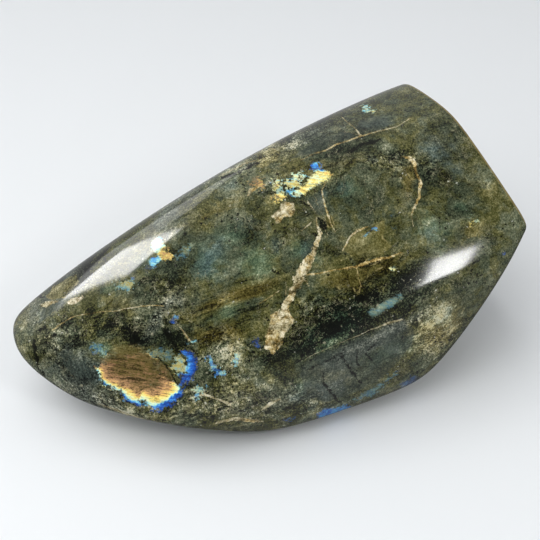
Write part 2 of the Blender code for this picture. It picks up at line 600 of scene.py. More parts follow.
# %% [markdown]
# ### Crystals on the front
# Four sorts stand out from the olive ground. Cream ones are opaque feldspar, ochre ones are
# clear and iron-stained, slate ones are clear and dark, so they look blue-grey, and black ones
# are hollows in the light: clear crystals with nothing behind them to send it back. Random cells
# would give all of them one size, so each has its own outline.

# %% Crystals on the front sheet
FRONT_CRYSTALS = {
    "cream": [
        [(269, 315), (277, 311), (288, 311), (295, 319), (293, 324), (286, 331), (280, 344), (273, 354),
         (270, 350), (263, 350), (266, 333), (270, 321)],
        [(270, 215), (273, 216), (276, 211), (280, 210), (281, 203), (286, 201), (290, 203), (294, 202),
         (295, 208), (293, 214), (288, 217), (284, 217), (281, 222), (276, 225), (275, 219)],
        [(39, 305), (44, 303), (52, 301), (60, 299), (59, 302), (51, 305), (43, 307)],
        [(66, 302), (72, 298), (82, 296), (84, 299), (77, 303), (70, 304)],
        [(246, 198), (249, 189), (258, 187), (252, 193)],
    ],
    "ochre": [
        [(343, 249), (350, 237), (359, 231), (369, 230), (383, 221), (386, 226), (382, 238), (392, 246),
         (380, 258), (371, 258), (357, 266), (353, 257)],
        [(352, 268), (370, 265), (388, 259), (403, 252), (398, 260), (386, 265), (374, 272), (362, 276)],
        [(330, 276), (346, 270), (366, 268), (374, 272), (361, 281), (358, 296), (352, 286), (340, 290)],
        [(324, 215), (331, 215), (335, 226), (328, 227)],
        [(255, 166), (258, 154), (271, 148), (281, 152), (276, 160), (264, 167)],
        [(410, 166), (417, 170), (419, 178), (412, 180), (407, 172)],
        [(464, 232), (472, 226), (479, 230), (476, 237), (468, 238)],
        [(112, 349), (124, 344), (142, 349), (138, 353), (120, 355)],
        [(46, 296), (54, 286), (66, 278), (76, 274), (79, 281), (72, 289), (66, 297), (54, 300)],
    ],
    "slate": [
        [(306, 201), (314, 194), (322, 190), (325, 203), (324, 215), (318, 216), (311, 209)],
        [(359, 121), (371, 116), (384, 117), (394, 123), (384, 129), (361, 134), (357, 127)],
        [(290, 160), (297, 153), (310, 145), (322, 137), (342, 132), (356, 134), (352, 138), (335, 144),
         (313, 153)],
        [(402, 384), (416, 376), (425, 379), (410, 389)],
        [(300, 374), (306, 361), (328, 351), (351, 341), (372, 332), (391, 325), (404, 321), (414, 330),
         (412, 344), (398, 362), (381, 379), (356, 392), (328, 402), (306, 396)],
        [(60, 353), (66, 349), (74, 352), (84, 364), (97, 370), (101, 378), (92, 383), (76, 377),
         (64, 366)],
        [(301, 256), (310, 246), (316, 240), (312, 254), (305, 262)],
        # This last outline is no slate crystal but a painted reflection: the pale streak on the rounding
        # above the lower ridge.
        [(370, 312), (380, 305), (391, 298), (398, 294), (402, 297), (396, 302), (385, 309), (374, 316)],
    ],
    "black": [
        [(122, 325), (128, 325), (136, 331), (143, 338), (144, 345), (134, 346), (127, 343), (128, 336)],
        [(69, 342), (74, 337), (79, 333), (84, 338), (82, 347), (75, 348)],
        [(150, 322), (156, 313), (160, 312), (158, 322), (152, 330)],
        [(165, 330), (168, 329), (173, 338), (179, 350), (176, 351), (170, 341)],
        [(179, 330), (183, 333), (188, 341), (186, 346), (179, 348), (174, 340)],
        [(318, 325), (332, 318), (345, 322), (338, 334), (322, 338)],
        [(352, 300), (372, 290), (386, 286), (380, 297), (362, 305)],
        [(302, 352), (314, 344), (320, 350), (310, 360)],
        [(104, 324), (112, 320), (116, 326), (108, 330)],
        [(366, 158), (374, 154), (380, 160), (372, 166)],
    ],
}
print({sort: len(outlines) for sort, outlines in FRONT_CRYSTALS.items()}, "crystals on the front")

# %% [markdown]
# ### Flashes on the front
# Labradorite flashes because it grew in layers thinner than a wavelength. The thinnest layers
# send back violet and blue, thicker ones cyan, pale yellow and gold, and the thickest copper.
# So a flash isn't given colours here but an order, 0 for blue to 1 for copper, which can rise
# away from its cool edge. Noise in the order then gives every colour in between, as in nature.

# %% Flashes under the tip
# Order, strength, brokenness and outline; then, for a wide one, how fast the order rises (in
# squares) and the cool edge that it rises from.
FRONT_FLASHES = [
    # the large flash under the tip: a cyan and gold hem, then copper
    (0.28, 0.95, 0.25, [(100, 372), (102, 379), (111, 385), (119, 387), (125, 389), (132, 390),
                        (141, 390), (150, 388), (165, 385), (174, 382), (168, 375), (161, 366),
                        (154, 358), (146, 354), (132, 351), (118, 350), (107, 355), (102, 364)],
     9.0, [(95, 374), (99, 385), (108, 390), (118, 394), (130, 402), (141, 404), (160, 401), (177, 391)]),
    # a thin hem where the layers end at the left
    (0.3, 0.9, 0.9, [(98, 369), (102, 371), (106, 376), (113, 381), (121, 385), (121, 389), (110, 386),
                     (101, 380)],
     5.0, [(97, 371), (100, 381), (110, 387), (121, 390)]),
    # its lower corner: gold, with a wide blue hem
    (0.06, 1.0, 0.25, [(139, 399), (141, 390), (150, 387), (165, 384), (174, 382), (180, 387), (183, 392),
                       (176, 398), (166, 403), (156, 408), (148, 404)],
     13.0, [(140, 406), (150, 411), (162, 411), (174, 404), (186, 396), (186, 384)]),
    (0.17, 0.95, 0.5, [(151, 408), (157, 403), (165, 398), (173, 391), (181, 388), (184, 393), (180, 399),
                       (173, 404), (165, 408), (158, 411)]),
    # its right lobe: pale gold inside, blue outside
    (0.5, 0.42, 1.2, [(174, 358), (181, 354), (186, 357), (187, 366), (184, 374), (178, 373),
                      (174, 366)]),
    (0.06, 0.95, 0.3, [(180, 352), (187, 350), (193, 354), (196, 360), (195, 370), (193, 376), (187, 374),
                       (185, 370), (187, 366), (186, 358), (183, 355)],
     32.0, [(179, 348), (188, 348), (196, 354), (198, 362), (196, 376)]),
    (0.16, 0.8, 0.9, [(181, 374), (192, 375), (192, 380), (188, 385), (181, 384)]),
    (0.42, 0.16, 0.8, [(147, 352), (158, 350), (172, 353), (172, 362), (160, 358), (152, 358)]),
    (0.14, 0.95, 0.5, [(120, 389), (125, 389), (132, 390), (141, 390), (139, 399), (142, 405), (132, 402),
                       (126, 398)],
     8.0, [(119, 392), (126, 400), (133, 404), (142, 406)]),
    (0.36, 0.22, 0.9, [(91, 346), (96, 343), (103, 349), (108, 356), (100, 354), (94, 350)]),
    (0.4, 0.6, 1.0, [(192, 389), (198, 386), (204, 389), (200, 395), (194, 398)]),
    (0.32, 0.6, 1.0, [(208, 361), (211, 359), (214, 365), (220, 370), (224, 374), (217, 374),
                      (211, 369)]),
    (0.4, 0.6, 0.4, [(232, 360), (238, 354), (242, 355), (236, 364)]),
    (0.46, 0.8, 0.4, [(188, 341), (191, 340), (195, 342), (193, 344)]),
    (0.3, 0.9, 0.1, [(174, 314), (176, 313), (177, 318), (174, 319)]),
    (0.14, 0.8, 0.1, [(171, 320), (175, 319), (174, 322)]),
    (0.16, 0.5, 0.5, [(252, 340), (258, 339), (262, 344), (257, 347)]),
]
print(len(FRONT_FLASHES), "flashing patches under the tip")

# %% Flashes on the ridge and the shoulder, and small flecks
FRONT_FLASHES += [
    # the broken flash on the ridge: gold with blue and white bits
    (0.29, 1.0, 0.6, [(311, 171), (312, 167), (315, 164), (319, 165), (321, 168), (322, 170), (317, 170),
                      (313, 172)]),
    (0.57, 1.0, 0.4, [(332, 176), (328, 172), (321, 171), (313, 174), (308, 181), (302, 186), (298, 191),
                      (303, 195), (309, 190), (316, 187), (325, 181)]),
    (0.44, 0.9, 0.7, [(289, 176), (296, 174), (305, 173), (307, 176), (300, 180), (292, 180)]),
    (0.31, 0.8, 0.5, [(287, 193), (290, 188), (294, 187), (295, 189), (292, 192), (289, 194)]),
    (0.58, 0.7, 1.2, [(283, 184), (290, 180), (298, 181), (304, 184), (298, 187), (288, 187)]),
    (0.45, 1.0, 0.4, [(293, 193), (299, 189), (304, 194), (299, 197), (294, 196)]),
    (0.64, 0.9, 0.8, [(274, 199), (278, 195), (286, 196), (284, 200), (277, 201)]),
    (0.56, 0.7, 1.4, [(272, 180), (279, 181), (281, 187), (275, 188)]),
    (0.74, 0.6, 1.2, [(251, 182), (258, 180), (265, 183), (261, 187), (253, 186)]),
    (0.4, 0.5, 0.8, [(275, 188), (281, 186), (284, 190), (278, 192)]),
    # the flash at the end of the glow on the shoulder
    (0.44, 0.9, 0.3, [(152, 241), (157, 237), (163, 239), (164, 246), (160, 252), (154, 253),
                      (151, 248)]),
    (0.66, 0.75, 0.7, [(161, 247), (166, 249), (172, 257), (168, 260), (163, 258), (158, 254)]),
    (0.33, 0.9, 0.3, [(149, 262), (152, 258), (157, 256), (160, 258), (159, 262), (154, 267),
                      (150, 266)]),
    (0.12, 0.25, 0.8, [(143, 269), (148, 265), (150, 268), (146, 271)]),
    (0.46, 0.35, 1.2, [(116, 284), (122, 281), (132, 280), (134, 284), (128, 289), (120, 288)]),
    (0.4, 0.2, 0.7, [(177, 256), (184, 248), (192, 244), (188, 254), (181, 260)]),
    # small flecks
    (0.3, 0.8, 0.1, [(391, 217), (393, 216), (393, 218)]),
    (0.33, 0.9, 0.1, [(374, 230), (376, 228), (377, 230)]),
    (0.34, 0.5, 0.1, [(365, 235), (369, 233), (369, 235)]),
    (0.36, 0.3, 0.4, [(392, 228), (395, 227), (396, 230)]),
    (0.22, 0.6, 0.1, [(503, 254), (505, 252), (505, 255)]),
    (0.46, 0.8, 0.6, [(362, 106), (367, 107), (374, 110), (366, 111)]),
    (0.52, 0.9, 0.4, [(392, 269), (395, 268), (395, 270)]),
    (0.57, 0.5, 1.2, [(471, 221), (475, 219), (478, 222), (474, 224)]),
    (0.36, 0.22, 0.5, [(352, 401), (362, 396), (372, 389), (386, 379), (398, 372), (388, 382), (372, 394),
                       (362, 400)]),
    (0.18, 0.3, 0.5, [(400, 384), (412, 377), (421, 380), (412, 387), (403, 389)]),
    (0.28, 0.7, 0.4, [(316, 415), (330, 408), (347, 406), (350, 408), (336, 413), (321, 417)]),
    (0.22, 0.5, 0.5, [(283, 419), (290, 416), (294, 417), (287, 420)]),
    # a painted reflection above the lower ridge: the same pale streak, tinted cyan
    (0.42, 0.24, 0.1, [(369, 312), (380, 305), (392, 298), (402, 294), (404, 297), (394, 303), (383, 310),
                       (373, 316)]),
]
print(len(FRONT_FLASHES), "flashing patches on the front in all")

# %% [markdown]
# ### Broad changes of tone on the front
# Between the marks the ground itself changes: nearly black round the vein's foot, olive-brown
# streaks under the middle crystals, grey towards the top and the tip. The teal and blue in the
# middle crystals are a dim flash, a painted sheen as it looks from the front. Along the lower
# ridge and on the facet below it, some light and grey smudges are a painted reflection of the
# pale floor, and one dark smudge there is painted shade.
# Streaky smudges show the fibres, and swirling ones are where crystals were crushed and healed.
# An edge would be wrong for any of these, so each is a handful of soft ellipses that add up.

# %% Smudges on the front sheet
# x, y, long radius and short radius in squares, turn in degrees, and strength.
FRONT_TONES = {
    "dark": [
        (320, 122, 60, 9, 26, 0.45), (430, 345, 30, 14, 40, 0.2), (90, 372, 30, 14, -25, 0.3),
        (45, 340, 24, 24, 0, 0.15), (352, 320, 60, 21, 24, 1.05), (398, 286, 28, 15, 14, 0.55),
        (305, 340, 30, 18, 30, 0.8), (137, 336, 22, 9, -15, 1.0), (350, 385, 60, 14, 22, 0.3),
        (385, 360, 20, 12, 20, 0.3), (90, 322, 44, 12, 8, 0.35), (215, 335, 30, 10, 12, 0.3),
        (345, 138, 30, 5, 20, 0.4), (76, 343, 10, 8, 0, 0.5), (170, 337, 8, 16, 15, 0.5),
        # On the next line, (330, 395) is painted shade: it darkens the lower facet.
        (120, 330, 34, 12, 5, 0.35), (330, 395, 70, 22, 15, 0.15), (90, 375, 36, 14, -25, 0.35),
        (130, 360, 20, 8, 0, 0.3), (248, 234, 12, 12, 0, 0.5), (355, 150, 30, 9, 18, 0.35),
        (395, 158, 16, 9, 0, 0.5), (380, 262, 20, 8, 12, 0.4), (410, 275, 24, 12, 20, 0.2),
        (168, 275, 16, 20, 0, 0.35), (150, 290, 20, 16, 0, 0.3), (205, 395, 40, 12, -8, 0.35),
        (440, 170, 30, 25, 0, 0.3), (490, 240, 20, 30, 0, 0.2), (60, 372, 30, 12, -30, 0.25),
        (258, 355, 16, 12, 0, 0.3),
    ],
    "teal": [
        # On the front, the teal smudges in and around the middle crystals and on the right are a dim flash:
        # a painted sheen, as it looks from the front.
        (330, 335, 40, 22, 30, 0.6), (380, 358, 24, 12, 20, 0.6), (180, 338, 8, 8, 0, 0.6),
        (205, 263, 17, 20, 0, 0.8), (258, 262, 20, 20, 0, 0.9), (228, 312, 26, 9, 25, 0.8),
        (303, 250, 12, 16, 60, 0.8), (345, 190, 22, 16, 15, 0.7), (432, 226, 26, 18, -40, 0.6),
        (462, 208, 14, 7, -20, 0.8), (350, 310, 24, 14, 20, 0.6), (232, 235, 20, 12, 0, 0.5),
        (105, 350, 14, 8, -30, 0.7), (110, 288, 14, 6, 10, 0.6), (405, 345, 24, 10, 30, 0.5),
        (140, 262, 14, 10, 30, 0.3), (372, 240, 16, 12, 0, 0.3), (300, 385, 24, 12, 10, 0.5),
    ],
    "warm": [
        (409, 186, 6, 24, -8, 0.9), (225, 300, 50, 8, 22, 0.9), (215, 335, 34, 13, 15, 1.0),
        (255, 292, 26, 6, 22, 0.8), (135, 362, 30, 18, -10, 0.8), (380, 268, 34, 8, 14, 0.8),
        (350, 284, 24, 12, 0, 0.9), (400, 170, 20, 12, 0, 0.5), (470, 230, 16, 8, 10, 0.6),
        (120, 305, 30, 14, 0, 0.4), (300, 170, 40, 12, 20, 0.4), (215, 212, 40, 12, 30, 0.5),
        (340, 245, 10, 26, 0, 0.4), (60, 290, 20, 8, 30, 0.7), (440, 330, 34, 22, 40, 0.8),
        (478, 190, 24, 20, 0, 0.3), (350, 160, 34, 8, 18, 0.4),
    ],
    "light": [
        # On the next line, (386, 305) is a painted reflection: the pale streak above the lower ridge.
        (386, 305, 19, 5, 32, 1.3), (350, 280, 24, 14, 0, 0.35), (258, 266, 22, 16, 0, 0.5),
        (140, 365, 30, 16, -10, 0.3), (410, 186, 5, 22, -8, 0.4), (389, 142, 10, 8, -30, 1.3),
        # On the next line, (392, 329) and (350, 352) are a painted reflection: a pale band just below the
        # lower ridge.
        (392, 329, 40, 4, 28, 0.9), (350, 352, 16, 5, 25, 0.5), (157, 321, 20, 4, 58, 0.5),
        (308, 308, 12, 8, 20, 0.6), (274, 148, 12, 6, 0, 1.2), (296, 144, 10, 4, 15, 1.4),
        (226, 354, 14, 9, 0, 1.1), (240, 403, 12, 5, 15, 0.8), (430, 350, 9, 8, 0, 0.9),
        (445, 322, 12, 8, 30, 0.5), (60, 290, 18, 8, 30, 0.8), (32, 330, 12, 20, 0, 0.35),
        (300, 300, 12, 20, -30, 0.3), (262, 262, 22, 18, 0, 0.35), (365, 215, 34, 22, 20, 0.3),
        (432, 225, 22, 16, -30, 0.3), (482, 235, 22, 26, 0, 0.25), (300, 250, 10, 18, 0, 0.25),
        (230, 380, 50, 14, 0, 0.25), (365, 248, 18, 12, 0, 0.25), (330, 345, 40, 12, 25, 0.2),
        (390, 145, 14, 10, 20, 0.5), (430, 335, 22, 26, 45, 0.5), (235, 402, 60, 16, 0, 0.2),
        (225, 358, 16, 12, 0, 0.5), (240, 190, 70, 14, 28, 0.45), (120, 270, 70, 20, 38, 0.4),
        (45, 315, 24, 24, 0, 0.3), (440, 215, 26, 24, 0, 0.2), (310, 125, 60, 10, 28, 0.1),
        # On the next line, (356, 376) is a painted reflection of the pale floor on the lower facet.
        (330, 395, 40, 14, 12, 0.3), (485, 200, 24, 40, 0, 0.2), (356, 376, 56, 17, 24, 0.7),
        (315, 385, 24, 14, 10, 0.1), (78, 391, 54, 8, -28, 0.6), (26, 340, 10, 26, 0, 0.5),
        (80, 362, 14, 10, 0, 0.3),
    ],
    "grey": [
        # On the next two lines, (385, 334), (350, 352) and (330, 380) are a painted reflection of the pale
        # floor along the lower ridge and on the facet below it.
        (385, 334, 50, 7, 28, 1.2), (350, 352, 24, 8, 25, 0.8), (156, 322, 24, 7, 58, 0.7),
        (90, 372, 40, 20, -25, 0.9), (300, 140, 60, 12, 25, 0.6), (330, 380, 60, 24, 15, 0.6),
        (180, 215, 60, 16, 33, 0.5), (440, 140, 26, 16, -40, 0.5), (50, 345, 24, 20, 0, 0.3),
        (78, 392, 54, 10, -28, 0.9), (34, 322, 20, 34, 0, 0.6), (180, 300, 16, 14, 0, 0.4),
        (190, 385, 16, 12, 0, 0.4), (400, 290, 20, 12, 20, 0.5),
    ],
    "swirl": [
        (235, 402, 80, 18, 2, 1.1), (120, 405, 50, 10, -18, 0.8), (430, 335, 30, 30, 45, 0.8),
        (225, 356, 26, 18, 0, 1.2), (390, 160, 30, 14, 0, 0.7), (165, 295, 20, 24, 0, 0.7),
        (430, 165, 14, 10, 0, 0.5), (110, 325, 50, 14, 5, 0.6), (275, 150, 40, 10, 25, 0.9),
        (350, 320, 60, 22, 22, 0.6), (310, 308, 14, 10, 20, 0.8), (55, 345, 20, 24, 0, 0.5),
        (300, 180, 50, 14, 18, 0.4),
    ],
    "blue": [
        # On the front, the blue smudges in and around the middle crystals are the same dim flash, a painted
        # sheen as it looks from the front.
        (203, 266, 16, 16, 0, 0.55), (216, 246, 14, 12, 0, 0.4), (335, 190, 20, 12, 15, 0.6),
        (440, 158, 24, 18, -40, 0.5), (95, 372, 34, 12, -22, 0.5), (250, 222, 14, 10, 0, 0.4),
        (372, 125, 20, 8, 15, 0.6), (430, 232, 10, 12, -40, 0.4), (275, 245, 10, 12, 0, 0.5),
        (305, 245, 8, 14, -20, 0.5), (330, 395, 50, 14, 14, 0.4), (232, 186, 12, 6, 30, 0.5),
    ],
    "streaks": [
        (225, 312, 62, 30, 20, 1.0), (135, 370, 44, 26, -10, 0.8), (345, 330, 70, 20, 25, 0.4),
        (215, 250, 50, 40, 20, 0.25),
    ],
}
print(sum(len(ellipses) for ellipses in FRONT_TONES.values()), "smudges on the front")

# %% [markdown]
# ### The back and the underside
# A lump like this is marked all over, so the back gets a sheet of its own, drawn in the same
# way: one long cream vein, two large flashes and a small one, and a few crystals. Mirroring
# the front would be quicker, but the same vein twice on one stone is soon noticed.

# %% Marks on the back sheet
BACK_VEINS = [
    (0.2, [(96, 250, 1.2), (130, 262, 3.0), (162, 258, 5.0), (190, 270, 8.0), (214, 268, 4.0),
           (246, 280, 3.0), (280, 276, 1.2)]),
    (0.9, [(214, 268, 1.6), (232, 246, 1.4), (262, 232, 2.2), (300, 226, 1.4), (330, 210, 1.0)]),
    (0.35, [(330, 300, 1.4), (360, 288, 2.6), (392, 292, 4.2), (426, 280, 2.0), (452, 284, 1.0)]),
    (0.6, [(392, 292, 2.0), (402, 316, 2.6), (396, 340, 1.4)]),
    (0.2, [(150, 330, 1.2), (184, 338, 2.6), (220, 332, 2.0), (250, 344, 1.0)]),
]
BACK_CRACKS = [
    [(300, 250, 1.2), (318, 262, 2.6), (330, 280, 2.0), (334, 300, 1.0)],
    [(120, 286, 1.0), (140, 300, 2.2), (150, 322, 1.4)],
    [(430, 220, 1.0), (446, 240, 2.4), (450, 262, 1.2)],
    [(210, 300, 1.0), (236, 308, 1.8), (262, 302, 1.0)],
]
BACK_CRYSTALS = {
    "cream": [
        [(182, 262), (196, 256), (210, 262), (214, 276), (198, 288), (186, 282)],
        [(384, 284), (396, 280), (408, 290), (402, 304), (390, 300)],
        [(268, 330), (284, 324), (298, 332), (290, 346), (274, 344)],
    ],
    "ochre": [
        [(240, 236), (264, 226), (286, 232), (280, 246), (254, 252)],
        [(130, 268), (150, 264), (158, 276), (146, 288), (132, 282)],
        [(420, 300), (440, 296), (452, 310), (438, 322), (424, 316)],
    ],
    "slate": [
        [(300, 200), (330, 196), (346, 212), (336, 232), (310, 230)],
        [(216, 306), (246, 312), (258, 330), (236, 342), (214, 330)],
        [(460, 250), (484, 246), (492, 270), (476, 286), (462, 272)],
        [(110, 238), (130, 232), (140, 246), (124, 256)],
    ],
    "black": [
        [(310, 266), (330, 258), (346, 270), (334, 284), (316, 280)],
        [(140, 312), (156, 306), (166, 316), (152, 326)],
        [(440, 236), (452, 230), (458, 246), (446, 256)],
    ],
}
BACK_FLASHES = [
    (0.04, 0.95, 0.3, [(336, 284), (342, 268), (352, 260), (358, 246), (374, 238), (390, 244), (396, 256),
                       (408, 262), (412, 274), (398, 284), (384, 286), (372, 296), (354, 292),
                       (346, 298)],
     22.0, [(330, 292), (346, 302), (356, 298), (374, 302), (388, 292), (404, 288), (418, 278)]),
    (0.1, 0.8, 0.5, [(156, 310), (166, 302), (176, 290), (190, 292), (198, 302), (212, 306), (200, 316),
                     (186, 318), (178, 330), (166, 322)],
     18.0, [(152, 318), (164, 328), (180, 336), (192, 324), (216, 314)]),
    (0.2, 0.7, 0.4, [(250, 290), (264, 286), (276, 292), (262, 298)]),
]
BACK_TONES = {
    "dark": [(320, 270, 40, 26, 0, 0.8), (150, 316, 30, 20, 0, 0.6), (450, 250, 30, 40, 0, 0.4)],
    "teal": [(280, 262, 40, 20, 10, 0.8), (400, 226, 30, 16, -20, 0.7), (120, 300, 26, 16, 0, 0.5)],
    "warm": [(230, 250, 44, 14, 15, 0.8), (360, 320, 50, 14, 5, 0.7), (190, 240, 40, 10, 10, 0.5)],
    "light": [(200, 262, 34, 16, 0, 0.5), (420, 340, 60, 16, 0, 0.4), (90, 270, 20, 30, 0, 0.3)],
    "grey": [(330, 214, 50, 22, 0, 0.7), (470, 262, 34, 34, 0, 0.7), (236, 326, 40, 18, 0, 0.6)],
    "swirl": [(300, 350, 120, 18, 0, 0.9), (180, 280, 50, 20, 0, 0.6), (420, 300, 40, 24, 0, 0.6)],
    "blue": [(320, 220, 40, 20, 0, 0.7), (230, 320, 30, 20, 0, 0.6), (470, 260, 24, 24, 0, 0.5)],
    "streaks": [(366, 262, 40, 30, 5, 0.9), (240, 245, 50, 20, 10, 0.8), (150, 290, 40, 30, 0, 0.5)],
}
print(len(BACK_VEINS), "veins,", len(BACK_CRACKS), "cracks and", len(BACK_FLASHES), "flashes on the back")

# %% [markdown]
# ### The marks go on the mesh
# The finish has to know the marks, and a vertex attribute is the plainest way to tell it: three
# numbers at each point, which the shader reads back smoothly in between. An attribute moves
# with the mesh, and needs no unwrapping and no image.

# %% Both sheets together


def both_patches(sort):
    """Least signed distance to a sort of crystal on either sheet."""
    return np.minimum(patches(front_places, FRONT_CRYSTALS[sort], front_seen),
                      patches(back_places, BACK_CRYSTALS[sort], back_seen))


def both_lines(front, back):
    """Nearest line of either sheet: the front one where it has any width."""
    first = lines(front_places, front, front_seen)
    second = lines(back_places, back, back_seen)
    return np.where(first[:, 1:2] > 0, first, second)


def both_smudges(tone):
    """Smudges of one tone on both sheets, added up."""
    return (smudges(front_places, FRONT_TONES[tone], front_seen)
            + smudges(back_places, BACK_TONES[tone], back_seen))


def store(name, *columns):
    """Keeps up to three numbers for each point as a vector attribute of the mesh."""
    values = np.zeros((len(spots), 3), dtype=np.float32)
    for index, column in enumerate(columns):
        values[:, index] = column
    stone_mesh.attributes.new(name, "FLOAT_VECTOR", "POINT").data.foreach_set("vector", values.ravel())
    print(name, values.min(axis=0).round(2), values.max(axis=0).round(2))


print(int((front_seen > TURNED_AWAY).sum()), "points take marks of the front,",
      int((back_seen > TURNED_AWAY).sum()), "of the back")

# %% Store the marks on the points of the mesh
DARKEST = 1.3

cracks = [[(0, path) for path in paths] for paths in (FRONT_CRACKS, BACK_CRACKS)]
store("veins", *both_lines(FRONT_VEINS, BACK_VEINS).T)
store("cracks", *both_lines(*cracks)[:, :2].T, both_patches("black"))
store("crystals", both_patches("cream"), both_patches("ochre"), both_patches("slate"))
front_flash = flashes(front_places, FRONT_FLASHES, front_seen)
back_flash = flashes(back_places, BACK_FLASHES, back_seen)
flash = np.where(front_flash[:, :1] < back_flash[:, :1], front_flash, back_flash)
store("flash", *flash[:, :3].T)
store("habit", both_smudges("streaks"), both_smudges("blue"), flash[:, 3])
store("tones", np.minimum(both_smudges("dark"), DARKEST), both_smudges("teal"), both_smudges("warm"))
store("veils", both_smudges("light"), both_smudges("grey"), both_smudges("swirl"))

# %% Store where the sawn base and its edge are
base_points, rim_points = np.zeros((2, len(spots)))
base_points[(ROWS + 1) * COLUMNS:len(rings) * COLUMNS] = 1
base_points[-1] = 1
rim_points[(ROWS - 1) * COLUMNS:(ROWS + 2) * COLUMNS] = 1
store("cut", base_points, rim_points)

# %% [markdown]
# ## The finish: what is seen in the stone
# A polished mineral is one smooth skin with a good deal of colour under it. It could be several
# glassy layers, but one Principled shader reads the same on every side and can be exported, so
# everything is built into its colour, a few nodes at a time: the fibrous ground, broad tones,
# clear crystals, cream feldspar, flashes, and cracks last. The patterns read Object coordinates,
# so they run through the stone as real grain does, and the stored marks say where each one goes.

# %% Helpers that add a node


def new_material(name):
    """A material with nodes, and its Principled shader."""
    made = bpy.data.materials.new(name)
    made.use_nodes = True
    return made, made.node_tree.nodes["Principled BSDF"]


def add(kind, sockets=None, **settings):
    """Adds a node; `settings` are its properties, `sockets` its inputs (a value or an output)."""
    made = nodes.new(kind)
    for name, value in settings.items():
        setattr(made, name, value)
    for key, value in (sockets or {}).items():
        if isinstance(value, bpy.types.NodeSocket):
            wires.new(value, made.inputs[key])
        else:
            made.inputs[key].default_value = value
    return made


def parts_of(vector):
    """The three numbers of a vector or a colour."""
    return add("ShaderNodeSeparateXYZ", {0: vector}).outputs[:3]


def marks(name):
    """The three numbers of a mesh attribute."""
    return parts_of(add("ShaderNodeAttribute", attribute_name=name).outputs["Vector"])


material, shader = new_material("labradorite")
nodes, wires = material.node_tree.nodes, material.node_tree.links
print("the material starts with", len(nodes), "nodes")

# %% [markdown]
# ### Small words for long sums
# Nearly every pattern below is a base value that several noises push up and down. Wired by hand
# that is two Math nodes for each push, so the sums get short names of their own: `line` for a
# slope and a start, `stir` for any number of pushes, `step` for a soft threshold.

# %% Helpers for sums


def sums(operation, a, b=0.0, c=0.0, clamp=False):
    """One Math node: operation(a, b, c)."""
    return add("ShaderNodeMath", {0: a, 1: b, 2: c}, operation=operation, use_clamp=clamp).outputs[0]


def times(a, b):
    """a * b."""
    return sums("MULTIPLY", a, b)


def line(value, slope, start, clamp=False):
    """start + slope * value."""
    return sums("MULTIPLY_ADD", value, slope, start, clamp)


def stir(base, *noises):
    """base + gain * (value - middle) for each (value, gain, middle); the middle is 0.5 if left out."""
    for value, gain, *middle in noises:
        centred = sums("SUBTRACT", value, *(middle or [0.5]))
        base = line(centred, gain, base)
    return base


def step(value, low, high):
    """Smooth step 3 t^2 - 2 t^3 from 0 at low to 1 at high; low may be the larger one."""
    falling = low > high
    sockets = {"Value": value, "From Min": min(low, high), "From Max": max(low, high),
               "To Min": float(falling), "To Max": 1.0 - falling}
    return add("ShaderNodeMapRange", sockets, interpolation_type="SMOOTHSTEP").outputs["Result"]


print("sums, times, line, stir and step are ready")

# %% Helpers for places and noise


def scaled(place, *by):
    """A place stretched along its axes."""
    return add("ShaderNodeVectorMath", {0: place, 1: by}, operation="MULTIPLY").outputs[0]


def shift(place, by, amount):
    """Moves a place by a noise colour: place + (by - 0.5) * amount."""
    centred = add("ShaderNodeVectorMath", {0: by, 1: (0.5, 0.5, 0.5)}, operation="SUBTRACT").outputs[0]
    return add("ShaderNodeVectorMath", {0: centred, 1: (amount,) * 3, 2: place},
               operation="MULTIPLY_ADD").outputs[0]


def noise(place, size, detail, roughness=0.5):
    """Fractal noise whose largest lumps measure about `size` millimetres; it varies round 0.5."""
    sockets = {"Vector": place, "Scale": 1.0 / size, "Detail": detail, "Roughness": roughness}
    return add("ShaderNodeTexNoise", sockets).outputs["Color"]


def cells(place, size):
    """Voronoi cells about `size` millimetres wide: their random colour, and distance to a middle."""
    made = add("ShaderNodeTexVoronoi", {"Vector": place, "Scale": 1 / size})
    return made.outputs["Color"], made.outputs["Distance"]


def along_grain(place, turn, squeeze):
    """Coordinates for fibres that lie in the front sheet: squeezed along them, true across.

    First the place is turned about the upright axis until the sheet's width is X, then about
    the sheet's own axis by `turn`; a negative turn gives fibres that rise to the right.
    """
    across = -90.0 - FRONT_SHEET[0]
    level = add("ShaderNodeVectorRotate", {"Vector": place, "Angle": math.radians(across)},
                rotation_type="Z_AXIS").outputs[0]
    axis = tuple(direction(-90.0, FRONT_SHEET[1]))
    turned = add("ShaderNodeVectorRotate", {"Vector": level, "Axis": axis, "Angle": turn},
                 rotation_type="AXIS_ANGLE").outputs[0]
    return scaled(turned, squeeze, 1.0, 1.0)


print("fibres are laid out", -90.0 - FRONT_SHEET[0], "degrees round from the X axis")

# %% Helpers for colour


def linear(red, green, blue):
    """Scene-linear colour from screen values: (v + 0.055) / 1.055 to the power 2.4, or v / 12.92."""
    levels = np.array([red, green, blue]) / 255
    curved = np.where(levels <= 0.04045, levels / 12.92, ((levels + 0.055) / 1.055) ** 2.4)
    return (*curved.tolist(), 1.0)


def blend(amount, under, over):
    """Mixes two colours: under * (1 - amount) + over * amount."""
    return add("ShaderNodeMix", {0: amount, 6: under, 7: over}, data_type="RGBA").outputs[2]


def cover(under, over, mask, most):
    """Lays one colour over another by mask * most."""
    return blend(times(mask, most), under, over)


def linear_ramp(value, positions, shades):
    """Colour ramp through scene-linear colours at the given positions."""
    made = add("ShaderNodeValToRGB", {"Fac": value})
    handles = made.color_ramp.elements
    while len(handles) < len(shades):
        handles.new(0.5)
    for handle, position, shade in zip(handles, positions, shades):
        handle.position = position
        handle.color = shade
    return made.outputs["Color"]


